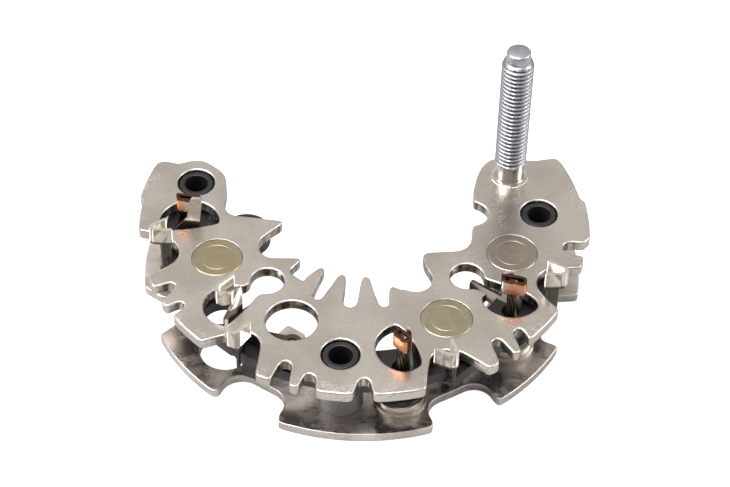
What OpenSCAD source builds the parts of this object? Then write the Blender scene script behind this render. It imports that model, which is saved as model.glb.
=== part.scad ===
// Alternator rectifier: two horseshoe heat sinks held apart on insulating bushes,
// press-fit diodes in both, a moulded terminal carrier between them and a battery stud.
// All sizes are millimetres. X and Y are centred on the bush circle, Z = 0 is the underside
// of the lower heat sink, the open side of the horseshoe faces +Y.

/* [Stack] */
// thickness of the lower (negative) heat sink
lower_t = 2.5; // [1.5:0.1:4]
// clear gap between the two heat sinks
plate_gap = 13.4; // [8:0.1:20]
// thickness of the upper (positive) heat sink
upper_t = 3; // [2:0.1:5]

/* [Heat sinks] */
// outer radius of the lower heat sink
lower_r = 55.5; // [50:0.1:60]
// inner radius of the lower heat sink
lower_bore_r = 34; // [31:0.1:37]
// outer radius of the upper heat sink at its arms
upper_r = 56; // [52:0.1:60]
// how far the front and the arm pads stand out past the upper outer radius
pad_step = 1; // [0:0.1:2]
// radius of the inner edge that the cooling fingers spring from
web_r = 25; // [22:0.1:28]
// width of a relief slot at its round end
slot_w = 3.2; // [2:0.1:4]
// least wall kept round a hole in a heat sink
hole_wall = 0.6; // [0.3:0.1:1]

/* [Bushes] */
// radius of the circle the three mounting bushes sit on
bush_circle_r = 44.6; // [40:0.1:50]
// angle of the left and right bushes from the front one
bush_spread = 101.3; // [90:0.1:120]
// bore of a bush for its mounting screw
bush_bore_d = 5.8; // [4:0.1:7]
// outer diameter of the spacer part of a bush
spacer_d = 11; // [9:0.1:13]
// diameter of the hole in the upper heat sink for a bush neck
neck_hole_d = 9.5; // [8:0.1:12]
// gap round a bush neck
neck_gap = 0.4; // [0.1:0.1:1]
// how far a bush neck stops below the top face
neck_drop = 0.4; // [0:0.1:1.5]

/* [Diodes] */
// diameter of a press-fit diode cup
diode_d = 12.8; // [10:0.1:14]
// full height of a diode cup
diode_h = 5.8; // [4:0.1:8]
// height of the knurled press-fit band
knurl_h = 4; // [2:0.1:5]
// diameter of the potting compound
potting_d = 10.4; // [8:0.1:12]
// how far the potting stands proud of its cup
potting_rise = 0.7; // [0.2:0.1:2]
// depth of the ring stamped in the base of a cup
base_ring_depth = 0.15; // [0.05:0.05:0.4]
// diameter of one strand of a stranded lead
strand_d = 0.84; // [0.4:0.1:1.2]
// radius of the circle that holds the outer strands
strand_ring_r = 0.8; // [0.5:0.05:1.2]

/* [Lead frame] */
// thickness of the terminal sheet
sheet_t = 0.8; // [0.5:0.1:1.2]
// height of a wire hook
hook_h = 5; // [3:0.1:7]
// gap between the top face and the lower edge of a hook
hook_rise = 0.5; // [0.2:0.1:2]
// height of a lead crimp
crimp_h = 4.2; // [3:0.1:6]
// gap between the top face and the lower edge of a crimp
crimp_rise = 1.7; // [0.5:0.1:3]
// width of the flat links under the carrier
link_w = 3.4; // [2:0.1:5]
// width of a link's neck at the blade of a wire hook
neck_w = 1.6; // [1:0.1:3]

/* [Carrier] */
// thickness of the carrier web
carrier_t = 3.4; // [2.5:0.1:5]
// gap from the carrier web to the upper heat sink
carrier_gap = 1.4; // [0.5:0.1:3]
// inner radius of the carrier web
carrier_bore_r = 39.4; // [37:0.1:42]
// outer radius of the carrier web
carrier_r = 49.6; // [48:0.1:54]

/* [Stud] */
// thread diameter of the battery stud
stud_d = 8; // [6:0.1:10]
// diameter of the plain neck under the thread
stud_neck_d = 6.9; // [5:0.1:8]
// height of the plain neck
stud_neck_h = 5.4; // [3:0.1:8]
// height of the stud above the upper heat sink
stud_h = 41.7; // [30:0.1:60]
// diameter of the dog point
dog_d = 6; // [4:0.1:7]
// length of the dog point
dog_h = 3; // [1:0.1:5]

/* [View] */
// the sub-part to draw, or all of them

/* [Hidden] */
$fn = 72;
eps = 0.02;
// share of a round end's width at which its straight sides meet it
slim = 0.98;
upper_z = lower_t + plate_gap;
top_z = upper_z + upper_t;
diode_r = diode_d / 2;
slot_r = slot_w / 2;
front_r = upper_r + pad_step;
reach = 2 * front_r;
carrier_top = upper_z - carrier_gap;
carrier_z = carrier_top - carrier_t;
link_z = carrier_z - sheet_t;
hook_z = top_z + hook_rise;
crimp_z = top_z + crimp_rise;
tail_h = 4.2;
tail_z = upper_z - 0.2 - tail_h;
tail_right = 13.2;
tail_spare = 10.8;
post_depth = 3.4;
potting_r = potting_d / 2;
bundle_r = strand_ring_r + strand_d / 2;
crimp_w = 2 * bundle_r + 1.1;
shoulder_r = diode_r - 0.4;
spacer_r = spacer_d / 2;
bush_bore_r = bush_bore_d / 2;
neck_r = neck_hole_d / 2 - neck_gap;

// places in plan: bushes, diodes in the upper and lower heat sink, the spare pair of holes
bush_front = [0, -bush_circle_r];
bush_left = bush_circle_r * [-sin(bush_spread), -cos(bush_spread)];
bush_right = bush_circle_r * [sin(bush_spread), -cos(bush_spread)];
pos_left = [-34.1, -16.9];
pos_mid = [23.9, -30];
pos_right = [38, -6.1];
pos_spare = [-13, -35.4];
neg_left = [-45.2, -3.9];
neg_mid = [14.3, -43];
neg_right = [38.9, -21.7];
neg_spare = [-30, -32.4];
stud_at = [35.3, 21.5];
small_left = [-20.7, -23.2];
small_right = [27.5, -15.4];
small_r = 4.2;

// foot of each wire hook's blade, where it goes down to its link
root_left = [[-48.4, -14.4], [-46.4, -14.2]];
root_spare = [[-24.2, -42.3], [-24.1, -41.3]];
root_mid = [[27.35, -43], [27.4, -41.8]];
root_right = [[49.8, -16.9], [47.5, -17.3]];

function polar(r, a) = [r * cos(a), r * sin(a)];
function upper_rim(d, a) = polar(upper_r - d, a);
function lower_rim(d, a) = polar(lower_r - d, a);
function inward(p) = atan2(-p[1], -p[0]);
function step(p, a, d, side) = p + d * [cos(a), sin(a)] + side * [-sin(a), cos(a)];

// flat shapes

module at(p) {
  translate([p[0], p[1]]) children();
}

// strip of width w along a path, round at every joint
module path(points, w) {
  for (i = [0 : len(points) - 1]) {
    at(points[i]) circle(d = w, $fn = 24);
  }
  for (i = [0 : len(points) - 2]) {
    run = points[i + 1] - points[i];
    at(points[i]) rotate(atan2(run[1], run[0])) translate([0, -w * slim / 2]) square([norm(run),
    w * slim]);
  }
}

// cooling finger: round tip and a straight taper down to two root points
module finger(tip, r, root_a, root_b) {
  mid = (root_a + root_b) / 2 - tip;
  side = slim * r / norm(mid) * [-mid[1], mid[0]];
  at(tip) circle(r = r);
  polygon([tip - side, root_a, root_b, tip + side]);
}

// relief slot: round end, sides that open out to two mouth points
module relief(end, r, mouth_a, mouth_b) {
  mid = (mouth_a + mouth_b) / 2 - end;
  side = slim * r / norm(mid) * [-mid[1], mid[0]];
  at(end) circle(r = r);
  polygon([end - side, mouth_a, mouth_b, end + side]);
}

// full disc of the upper heat sink, with its front and its arm pads standing out a little
module upper_disc() {
  circle(r = upper_r, $fn = 180);
  intersection() {
    circle(r = front_r, $fn = 180);
    union() {
      polygon([[0, 0], polar(reach, -111.8), polar(reach, -75), polar(reach, -39.5)]);
      translate([-reach, 1]) square([2 * reach, 14.2]);
    }
  }
}

// open middle of the horseshoe, with the cooling fingers left standing in it
module upper_middle() {
  difference() {
    union() {
      circle(r = web_r, $fn = 120);
      left_bay();
      right_bay();
      arm_ends();
    }
    fingers();
  }
}

// open bay inside the left arm
module left_bay() {
  polygon([[0, 0], [0, reach], [-36.5, reach], [-36.5, 11.5], [-35.3, 6], [-35.4, 2], [-34.6, -0.3],
    [-32.8, -1.7], [-20, -1.9], [-20, -3.2], [-24.7, -9.4], [-20.4, -12]]);
  at([-20.4, -11]) circle(r = 4.3);
}

// open bay inside the right arm
module right_bay() {
  polygon([[0, 0], [16, -8.7], [24, -7.5], [26.6, -5.6], [27.6, -3.4], [27.5, 1], [26.9, 11.6],
    [26.6, 15], [27.2, 21], [28.3, 24.8], [30.4, 27.4], [33, 28], [33, reach], [0, reach]]);
  at([27, 6.5]) circle(r = 4.1);
}

// shaped ends of the two arms
module arm_ends() {
  polygon([[-reach, 15.2], [-55.2, 15], [-53.2, 15.8], [-49.4, 15.1], [-46.4, 16.8], [-43.6, 17.2],
    [-41.4, 16.2], [-38, 13.9], [-36.4, 11.5], [-36, reach], [-reach, reach]]);
  polygon([[30, 28], [41.6, 28.1], [44, 29], [46.8, 29.8], [48.2, 29], [reach, 28], [reach, reach],
    [30, reach]]);
}

module fingers() {
  finger([-20.5, -2.8], 0.9, [-34, -1.9], [-25.4, -10]);
  finger([-14.2, -15.1], 0.8, [-21, -15.2], [-16.2, -19.6]);
  finger([-8.1, -17.5], 0.9, [-12, -21.2], [-9.4, -27]);
  finger([-2.8, -19.4], 1.1, [-7, -28], [-1.3, -28]);
  finger([3.1, -19.4], 1.1, [1.7, -28], [7.2, -28]);
  finger([10, -21.8], 1, [9.9, -28], [15, -24]);
  polygon([[19.6, -18], [16.7, -12.6], [16, -9.6], [16.6, -8.5], [24.6, -6.9], [32, -8], [28, -20]]);
}

module finger_slots() {
  relief([-7.9, -26.6], 1.25, [-4.5, -20.4], [-7.9, -20.4]);
  relief([0.2, -27.6], 1.75, [2, -20], [-1.6, -20]);
  relief([8.4, -26.8], 1.35, [9, -21.4], [4.6, -20.4]);
  at([15.2, -18]) circle(r = 4.1);
  at([-13.3, -19.2]) circle(r = 1.7);
}

// relief slots in the outer edge of the upper heat sink
module edge_slots() {
  relief(upper_rim(2.7, -82.9), slot_r, upper_rim(-2.6, -86.1), upper_rim(-3.3, -80.5));
  relief(upper_rim(2.5, -96.8), slot_r, upper_rim(-3.2, -98.8), upper_rim(-2.7, -94.2));
  relief(upper_rim(4.5, -104), slot_r, upper_rim(-4.8, -105.7), upper_rim(-3.5, -100.6));
  relief(upper_rim(4.4, -44.8), 1.4, upper_rim(-3.8, -49.4), upper_rim(-6.2, -44.5));
  relief(upper_rim(3.4, -38), 1.4, upper_rim(-4.7, -43.3), upper_rim(-5.7, -40.3));
  relief(upper_rim(3.3, -140), 1.2, upper_rim(-4.4, -141), upper_rim(-4.2, -137.6));
  relief(upper_rim(4.2, -147.4), 1.2, upper_rim(-3.1, -148.8), upper_rim(-3.5, -142.8));
  relief(upper_rim(3.7, -2.6), 2, upper_rim(-4.2, -5), upper_rim(-4, -0.2));
}

// recesses in the outer edge that the wire hooks stand in
module hook_recesses() {
  at(upper_rim(4.6, -160.7)) circle(r = 4.8);
  polygon([upper_rim(6, -165.9), upper_rim(2.7, -168.9), upper_rim(-6.8, -170.8),
    upper_rim(-12.9, -154.2), upper_rim(0.7, -153.2), upper_rim(6.6, -155.7)]);
  at(upper_rim(5.4, -117.8)) circle(r = 4.4);
  polygon([upper_rim(7.3, -113.2), upper_rim(-7, -107.7), upper_rim(-19.8, -126.4),
    upper_rim(0.4, -126.4), upper_rim(5.2, -123.8), upper_rim(6.7, -122.7)]);
  at(upper_rim(5.6, -60.4)) circle(r = 3.7);
  polygon([upper_rim(7.3, -64.2), upper_rim(-7.6, -70.5), upper_rim(-18, -51.6),
    upper_rim(-0.3, -51.8), upper_rim(6.9, -55), upper_rim(7.5, -56.8)]);
  at(upper_rim(4.2, -16.8)) circle(r = 5);
  polygon([upper_rim(5.4, -11.4), upper_rim(-6.5, -7.4), upper_rim(-12, -24.3),
    upper_rim(0.2, -25), upper_rim(6.2, -22)]);
}

// windows for the leads of the lower diodes, shrunk all round by g
module window_left(g) {
  intersection() {
    at([-43, -5.5]) circle(r = 7.5 - g);
    at([-59.8, 49.9]) circle(r = 60 - g, $fn = 240);
  }
}

module window_mid(g) {
  intersection() {
    at([15.5, -40.3]) circle(r = 7.7 - g);
    at([-1.5, -50]) circle(r = 21.4 - g, $fn = 120);
    at([8.5, -36]) circle(r = 14.4 - g, $fn = 120);
  }
}

module window_right(g) {
  intersection() {
    at([38.8, -20.2]) circle(r = 7.4 - g);
    at([38.5, -26.5]) circle(r = 8.1 - g);
  }
}

module window_spare(g) {
  intersection() {
    at([-28.3, -32.5]) circle(r = 6.6 - g);
    at([-75.1, -5.9]) circle(r = 57.3 - g, $fn = 240);
  }
}

// channels that let the terminal tails pass from the windows to the small holes
module tail_channels() {
  path([[29.5, -17], [37, -19.4]], 4);
  path([[-21.9, -24.6], [-28, -31]], 4.4);
}

// holes in the upper heat sink, grown all round by g
module upper_holes(g) {
  window_left(-g);
  window_mid(-g);
  window_right(-g);
  window_spare(-g);
  at(small_left) circle(r = small_r + g);
  at(small_right) circle(r = small_r + g);
  for (p = [bush_front, bush_left, bush_right]) {
    at(p) circle(r = neck_hole_d / 2 + g);
  }
  for (p = [pos_left, pos_mid, pos_right, pos_spare]) {
    at(p) circle(r = diode_r + g);
  }
  at(stud_at) circle(r = stud_d / 2 + g);
}

// the rim's cuts stop where a hole needs its wall
module upper_outline() {
  difference() {
    union() {
      difference() {
        upper_disc();
        edge_slots();
        hook_recesses();
      }
      upper_holes(hole_wall);
    }
    upper_middle();
    finger_slots();
  }
}

// scallops in the outer edge of the lower heat sink
module lower_scallops() {
  at(lower_rim(4, -117.8)) circle(r = 5.4);
  at(lower_rim(4, -110.8)) circle(r = 5.1);
  polygon([lower_rim(4, -117.8), lower_rim(9.3, -118.7), lower_rim(9.1, -111.1),
    lower_rim(2.2, -105.2), lower_rim(-7.1, -102.9), lower_rim(-14.3, -119.1),
    lower_rim(-0.1, -124.1), lower_rim(1.2, -122.8)]);
  at(lower_rim(3.9, -51.2)) circle(r = 4.6);
  at(lower_rim(3.3, -59.5)) circle(r = 5);
  polygon([lower_rim(3.9, -51.2), lower_rim(8.4, -51), lower_rim(8.2, -60.6),
    lower_rim(0.1, -65.5), lower_rim(-11.2, -66.1), lower_rim(-12.6, -49.8),
    lower_rim(-0.5, -46.4), lower_rim(2.6, -46.5)]);
  at(lower_rim(3.6, -155.7)) circle(r = 4.6);
  polygon([lower_rim(3.6, -155.7), lower_rim(4.2, -160.6), lower_rim(-0.1, -165.6),
    lower_rim(-10, -167.7), lower_rim(-15.5, -147.7), lower_rim(0.8, -148.2),
    lower_rim(5.4, -150.1)]);
  at(lower_rim(4.8, -15.1)) circle(r = 4.2);
  polygon([lower_rim(4.8, -15.1), lower_rim(8.1, -12.7), lower_rim(5.9, -4.5), lower_rim(0.8, -3),
    lower_rim(-8.5, -2), lower_rim(-11.2, -21.6),
    lower_rim(4.5, -22.1), lower_rim(5.5, -20.1)]);
}

// holes in the lower heat sink, grown all round by g
module lower_holes(g) {
  for (p = [neg_left, neg_mid, neg_right, neg_spare]) {
    at(p) circle(r = diode_r + g);
  }
  for (p = [bush_front, bush_left, bush_right]) {
    at(p) circle(r = bush_bore_r + g);
  }
}

// bays in the inner edge, open to the upper diodes, grown all round by g
module lower_bays(g) {
  at(pos_left) circle(r = 7.2 + g);
  at(pos_mid) circle(r = 4.5 + g);
  at(pos_right) circle(r = 4.5 + g);
}

module lower_outline() {
  difference() {
    union() {
      difference() {
        circle(r = lower_r, $fn = 180);
        lower_scallops();
      }
      lower_holes(hole_wall);
      lower_bays(hole_wall);
    }
    circle(r = lower_bore_r, $fn = 120);
    polygon([[0, 0], [-33, -4], [-36.6, 10], [-38, 14], [-reach, 14.6], [-reach, reach],
      [reach, reach], [reach, 27], [46, 27.2], [32, 25], [30, 14], [33, -1]]);
    lower_bays(0);
  }
  at([-13.4, -23.5]) rotate(239.2) translate([0, -3]) square([9, 6]);
}

// built-up parts

module positive_heat_sink() {
  color("silver") translate([0, 0, upper_z]) linear_extrude(upper_t) difference() {
    upper_outline();
    upper_holes(0);
    tail_channels();
  }
}

module negative_heat_sink() {
  color("gainsboro") linear_extrude(lower_t) difference() {
    lower_outline();
    lower_holes(0);
  }
}

// insulating bush: spacer between the plates and a neck up through the upper plate
module bush(p) {
  color("dimgray") at(p) difference() {
    union() {
      translate([0, 0, lower_t]) cylinder(r = spacer_r, h = plate_gap);
      cylinder_between(lower_t, top_z - neck_drop, neck_r);
    }
    translate([0, 0, lower_t - 1]) cylinder(r = bush_bore_r, h = plate_gap + upper_t + 2);
    translate([0, 0, top_z - neck_drop - 0.5]) cylinder(r1 = bush_bore_r, r2 = bush_bore_r + 0.6, h = 0.6);
  }
}

module cylinder_between(z0, z1, r) {
  translate([0, 0, z0]) cylinder(r = r, h = z1 - z0);
}

module bush_left() {
  bush(bush_left);
}

module bush_right() {
  bush(bush_right);
}

module bush_front() {
  bush(bush_front);
}

// diode cup standing on its base at z = 0, hollow above the potting floor
module cup() {
  color("tan") difference() {
    union() {
      cylinder(r = diode_r, h = knurl_h);
      cylinder(r = shoulder_r, h = diode_h - 0.4);
      translate([0, 0, diode_h - 0.4]) cylinder(r1 = shoulder_r, r2 = shoulder_r - 0.4, h = 0.4);
    }
    translate([0, 0, 2]) cylinder(r = potting_r, h = diode_h);
    translate([0, 0, -eps]) difference() {
      cylinder(r = 4.3, h = base_ring_depth + eps);
      translate([0, 0, -1]) cylinder(r = 4, h = 3);
    }
  }
}

// potting compound that fills a cup, domed by one step at its edge
module potting() {
  color("black") difference() {
    union() {
      translate([0, 0, 2]) cylinder(r = potting_r, h = diode_h - 2);
      translate([0, 0, diode_h]) cylinder(r1 = potting_r, r2 = potting_r - 0.8, h = potting_rise);
    }
    translate([0, 0, 3.2]) cylinder(r = strand_ring_r + strand_d / 2, h = diode_h);
  }
}

// stranded lead: six strands round one, from z0 to z1
module strands(z0, z1) {
  color("darkgoldenrod") {
    cylinder_between(z0, z1, strand_d / 2);
    for (i = [0 : 5]) {
      at(polar(strand_ring_r, 60 * i)) cylinder_between(z0, z1, strand_d / 2);
    }
  }
}

module upper_place(p) {
  translate([p[0], p[1], top_z]) mirror([0, 0, 1]) children();
}

module positive_cup_left() {
  upper_place(pos_left) cup();
}

module positive_cup_mid() {
  upper_place(pos_mid) cup();
}

module positive_cup_right() {
  upper_place(pos_right) cup();
}

module negative_cup_left() {
  at(neg_left) cup();
}

module negative_cup_mid() {
  at(neg_mid) cup();
}

module negative_cup_right() {
  at(neg_right) cup();
}

module positive_potting_left() {
  upper_place(pos_left) potting();
}

module positive_potting_mid() {
  upper_place(pos_mid) potting();
}

module positive_potting_right() {
  upper_place(pos_right) potting();
}

module negative_potting_left() {
  at(neg_left) potting();
}

module negative_potting_mid() {
  at(neg_mid) potting();
}

module negative_potting_right() {
  at(neg_right) potting();
}

module positive_lead(p) {
  at(p) strands(link_z - 0.6, top_z - 3.2);
}

module negative_lead(p) {
  at(p) strands(3.2, crimp_z + crimp_h + 0.4);
}

module positive_lead_left() {
  positive_lead(pos_left);
}

module positive_lead_mid() {
  positive_lead(pos_mid);
}

module positive_lead_right() {
  positive_lead(pos_right);
}

module negative_lead_left() {
  negative_lead(neg_left);
}

module negative_lead_mid() {
  negative_lead(neg_mid);
}

module negative_lead_right() {
  negative_lead(neg_right);
}

// sheet-metal terminals

// shape in the frame of a lower diode: x runs inward from its axis, y is the side of the tab
module lead_frame(p) {
  at(p) rotate(inward(p)) children();
}

// folded crimp closed round a lead
module crimp(p) {
  color("peru") translate([0, 0, crimp_z]) linear_extrude(crimp_h) lead_frame(p) difference() {
    path([[-0.7, 0], [0.6, 0]], crimp_w);
    path([[-0.5, 0], [0.3, 0]], 2 * bundle_r + 0.1);
  }
}

module crimp_left() {
  crimp(neg_left);
}

module crimp_mid() {
  crimp(neg_mid);
}

module crimp_right() {
  crimp(neg_right);
}

// upright tab beside a lead, drawn in its own plane: x inward, y up
module tab_profile(tail) {
  low = top_z - 2.2;
  polygon([[-1.6, link_z], [-1.6, low], [0.9, top_z + 1], [0.9, crimp_z + crimp_h - 0.9],
    [1.5, crimp_z + crimp_h - 0.1], [3.3, crimp_z + crimp_h - 0.1], [3.8, crimp_z + crimp_h - 0.7],
    [3.8, link_z]]);
  if (tail > 0) {
    tip = [for (a = [0 : 15 : 90]) [tail - 1, tail_z + tail_h - 1] + polar(1, a)];
    polygon(concat([[3, tail_z], [tail, tail_z]], tip, [[3, tail_z + tail_h]]));
  }
}

module tab(p, tail) {
  at(p) rotate(inward(p)) translate([0, -crimp_w / 2, 0]) rotate([90, 0, 0]) {
    linear_extrude(sheet_t) tab_profile(tail);
  }
}

// flat link under the carrier: from the tab to the hook's root and to the eyelet of the upper diode
module link(p, via, root, eye) {
  foot = step(p, inward(p), 1.2, -crimp_w / 2 - sheet_t / 2);
  translate([0, 0, link_z]) linear_extrude(sheet_t) difference() {
    union() {
      path([foot, via], link_w);
      path([via, root[0]], neck_w);
      path(root, neck_w);
      path([foot, eye], link_w);
      at(eye) circle(r = 2.6);
    }
    at(eye) circle(r = bundle_r + 0.1);
    at(p) circle(r = bundle_r + 0.3);
  }
}

// wire hook: an upright strip bent in plan, carried on a blade that goes down at its root
module hook(points, blade, root) {
  translate([0, 0, hook_z]) linear_extrude(hook_h) path(points, sheet_t);
  translate([0, 0, carrier_top + 0.3]) linear_extrude(hook_z - carrier_top + 0.7) path(blade, sheet_t);
  translate([0, 0, link_z]) linear_extrude(carrier_top - link_z + 0.8) path(root, sheet_t);
}

// front corner of a blade that reaches down past the carrier's top
module toe(points, z) {
  translate([0, 0, z]) linear_extrude(hook_z - z) path(points, sheet_t);
}

module hook_left() {
  hook([[-46, -14.2], [-50.2, -14.5], [-51, -14.2], [-51, -13.5], [-50.4, -12.8], [-48.1, -10.8]],
    root_left, root_left);
}

module hook_spare() {
  hook([[-27.5, -42.4], [-27.1, -44.6], [-26.5, -45.7], [-25, -46.1], [-24, -45.4], [-22.2, -42]],
    [[-24.5, -45.6], root_spare[1]], root_spare);
  toe([[-24.5, -45.6], [-24.4, -44.8]], 11.8);
}

module hook_mid() {
  hook([[22.5, -45.1], [24, -45.6], [26.2, -46.3], [27.2, -46.1], [27.6, -45.2], [27.1, -44.2],
    [26, -41.6]], [[27.1, -46.2], root_mid[1]], root_mid);
  toe([[27.1, -46.2], [27.15, -45.7]], 13.4);
}

module hook_right() {
  hook([[46.9, -17.4], [50.4, -16.9], [51.3, -16.5], [51.7, -15.7], [51.3, -14.9], [47.2, -13]],
    root_right, root_right);
}

// open crimp that waits for a lead the rectifier does without
module open_crimp(p) {
  translate([0, 0, crimp_z]) linear_extrude(crimp_h - 0.1) lead_frame(p) {
    path([[4.6, 2], [0, 1.6], [-1.1, 1.1], [-1.6, 0], [-1.1, -1.1], [0, -1.7],
      [3.4, -crimp_w / 2 - sheet_t / 2]], sheet_t);
  }
}

module terminal_left() {
  color("lightgray") {
    tab(neg_left, 0);
    link(neg_left, [-45.4, -11], root_left, pos_left);
    hook_left();
  }
}

module terminal_spare() {
  color("lightgray") {
    tab(neg_spare, tail_spare);
    link(neg_spare, [-27.4, -38.4], root_spare, pos_spare);
    hook_spare();
    open_crimp(neg_spare);
  }
}

module terminal_mid() {
  color("lightgray") {
    tab(neg_mid, 0);
    link(neg_mid, [20.5, -41.8], root_mid, pos_mid);
    hook_mid();
  }
}

module terminal_right() {
  color("lightgray") {
    tab(neg_right, tail_right);
    link(neg_right, [44, -18.6], root_right, pos_right);
    hook_right();
  }
}

// moulded carrier

module carrier_outline() {
  difference() {
    circle(r = carrier_r, $fn = 180);
    circle(r = carrier_bore_r, $fn = 120);
    polygon([[0, 0], [-reach, 35.8], [-reach, reach], [reach, reach], [reach, 35.8]]);
    polygon([[-24.6, -41.8], [-33, -41.2], [-45, -reach], [-24.6, -reach]]);
    polygon([[25, -reach], [25, -39.9], [30, -47], [30, -reach]]);
  }
  for (p = [bush_front, bush_left, bush_right]) {
    at(p) circle(r = 7.4);
  }
  polygon([[25.2, -39.6], [27.4, -44.8], [29.5, -42], [33.4, -37.6], [31, -34]]);
  at([-29.2, -2.6]) circle(r = 6.1);
  path([[-29.2, -2.6], [-42, -4]], 8);
}

module terminal_slot(p, tail) {
  at(step(p, inward(p), 0, -crimp_w / 2 - sheet_t / 2)) rotate(inward(p)) {
    translate([-1.7, -sheet_t / 2 - 0.1]) square([tail + 1.8, sheet_t + 0.2]);
  }
}

module carrier_holes() {
  for (p = [bush_front, bush_left, bush_right]) {
    at(p) circle(r = spacer_r + 0.1);
  }
  for (p = [pos_left, pos_mid, pos_right, pos_spare]) {
    at(p) circle(r = diode_r + 0.5);
  }
  for (p = [neg_left, neg_mid, neg_right]) {
    at(p) circle(r = 2.2);
  }
  terminal_slot(neg_left, 3.8);
  terminal_slot(neg_mid, 3.8);
  terminal_slot(neg_right, tail_right);
  terminal_slot(neg_spare, tail_spare);
  at(neg_spare) circle(r = 5.4);
  for (root = [root_left, root_spare, root_mid, root_right]) {
    path(root, sheet_t + 0.2);
  }
}

module terminal_carrier() {
  color("darkslategray") {
    translate([0, 0, carrier_z]) linear_extrude(carrier_t) difference() {
      carrier_outline();
      carrier_holes();
    }
    post([-22.5, -40.7], -17, 4.4);
    post([27.4, -36.4], 42, 4.2);
  }
}

// leg of the carrier that stands on the lower heat sink: middle of its front face, its turn and width
module post(p, turn, w) {
  at(p) rotate(turn) translate([-w / 2, 0, lower_t]) cube([w, post_depth, carrier_z - lower_t + 1]);
}

// battery stud

module battery_stud() {
  color("lightsteelblue") at(stud_at) {
    cylinder_between(upper_z - 2.4, upper_z, 6.5);
    cylinder_between(upper_z - 1, top_z + 0.5, stud_d / 2);
    cylinder_between(top_z, top_z + 0.8, stud_d / 2 + 0.4);
    cylinder_between(top_z, top_z + stud_neck_h, stud_neck_d / 2);
    cylinder_between(top_z + stud_neck_h, top_z + stud_h - dog_h, stud_d / 2);
    cylinder_between(top_z + stud_h - dog_h - 0.5, top_z + stud_h - 0.5, dog_d / 2);
    translate([0, 0, top_z + stud_h - 0.5]) cylinder(r1 = dog_d / 2, r2 = dog_d / 2 - 0.5, h = 0.5);
  }
}

negative_heat_sink();
positive_heat_sink();
terminal_carrier();
bush_left();
bush_right();
bush_front();
positive_cup_left();
positive_cup_mid();
positive_cup_right();
negative_cup_left();
negative_cup_mid();
negative_cup_right();
positive_potting_left();
positive_potting_mid();
positive_potting_right();
negative_potting_left();
negative_potting_mid();
negative_potting_right();
positive_lead_left();
positive_lead_mid();
positive_lead_right();
negative_lead_left();
negative_lead_mid();
negative_lead_right();
crimp_left();
crimp_mid();
crimp_right();
terminal_left();
terminal_spare();
terminal_mid();
terminal_right();
battery_stud();
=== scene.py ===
"""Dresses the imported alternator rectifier: two heat sinks, diodes, carrier, terminals and stud.

Sizes in this file are millimetres until a mesh is finished, and every place is in the frame of
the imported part: the bush circle's centre is the origin and the lower heat sink's seat is z = 0.
"""

import logging
import math
from dataclasses import dataclass, field
from enum import Enum
from typing import Any, Callable, Iterable, Sequence

import bmesh
import bpy
from mathutils import Matrix, Vector
from mathutils.geometry import delaunay_2d_cdt
from mathutils.kdtree import KDTree


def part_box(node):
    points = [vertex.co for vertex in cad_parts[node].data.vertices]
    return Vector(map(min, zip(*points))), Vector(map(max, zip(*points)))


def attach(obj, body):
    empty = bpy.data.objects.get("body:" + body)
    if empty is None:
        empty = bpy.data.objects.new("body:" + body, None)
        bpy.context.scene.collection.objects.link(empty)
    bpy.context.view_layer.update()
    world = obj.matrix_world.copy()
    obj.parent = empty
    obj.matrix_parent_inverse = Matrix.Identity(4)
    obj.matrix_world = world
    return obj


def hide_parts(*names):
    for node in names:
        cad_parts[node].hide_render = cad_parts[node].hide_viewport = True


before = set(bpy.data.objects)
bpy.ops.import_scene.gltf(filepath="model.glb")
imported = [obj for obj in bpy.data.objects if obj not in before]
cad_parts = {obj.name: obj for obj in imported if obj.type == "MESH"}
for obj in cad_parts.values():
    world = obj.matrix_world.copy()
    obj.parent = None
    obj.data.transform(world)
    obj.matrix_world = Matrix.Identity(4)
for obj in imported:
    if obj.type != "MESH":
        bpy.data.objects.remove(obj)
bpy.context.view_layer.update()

LOG = logging.getLogger("rectifier")
MM = 0.001
BODY = "root"

Point = tuple[float, float]
Loop = list[Vector]


def corner(node: str, index: int) -> Vector:
    """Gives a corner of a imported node's box in millimetres.

    Args:
        node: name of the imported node.
        index: 0 for the lowest corner and 1 for the highest.

    Returns:
        The corner.
    """
    return Vector(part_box(node)[index]) / MM


def centre(node: str) -> Point:
    """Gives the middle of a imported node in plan.

    Args:
        node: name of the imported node.

    Returns:
        Its x and y in millimetres.
    """
    low, high = corner(node, 0), corner(node, 1)
    return ((low.x + high.x) / 2, (low.y + high.y) / 2)


LOWER_TOP = corner("negative_heat_sink", 1).z
UPPER_UNDER = corner("positive_heat_sink", 0).z
UPPER_TOP = corner("positive_heat_sink", 1).z


# Materials


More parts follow.
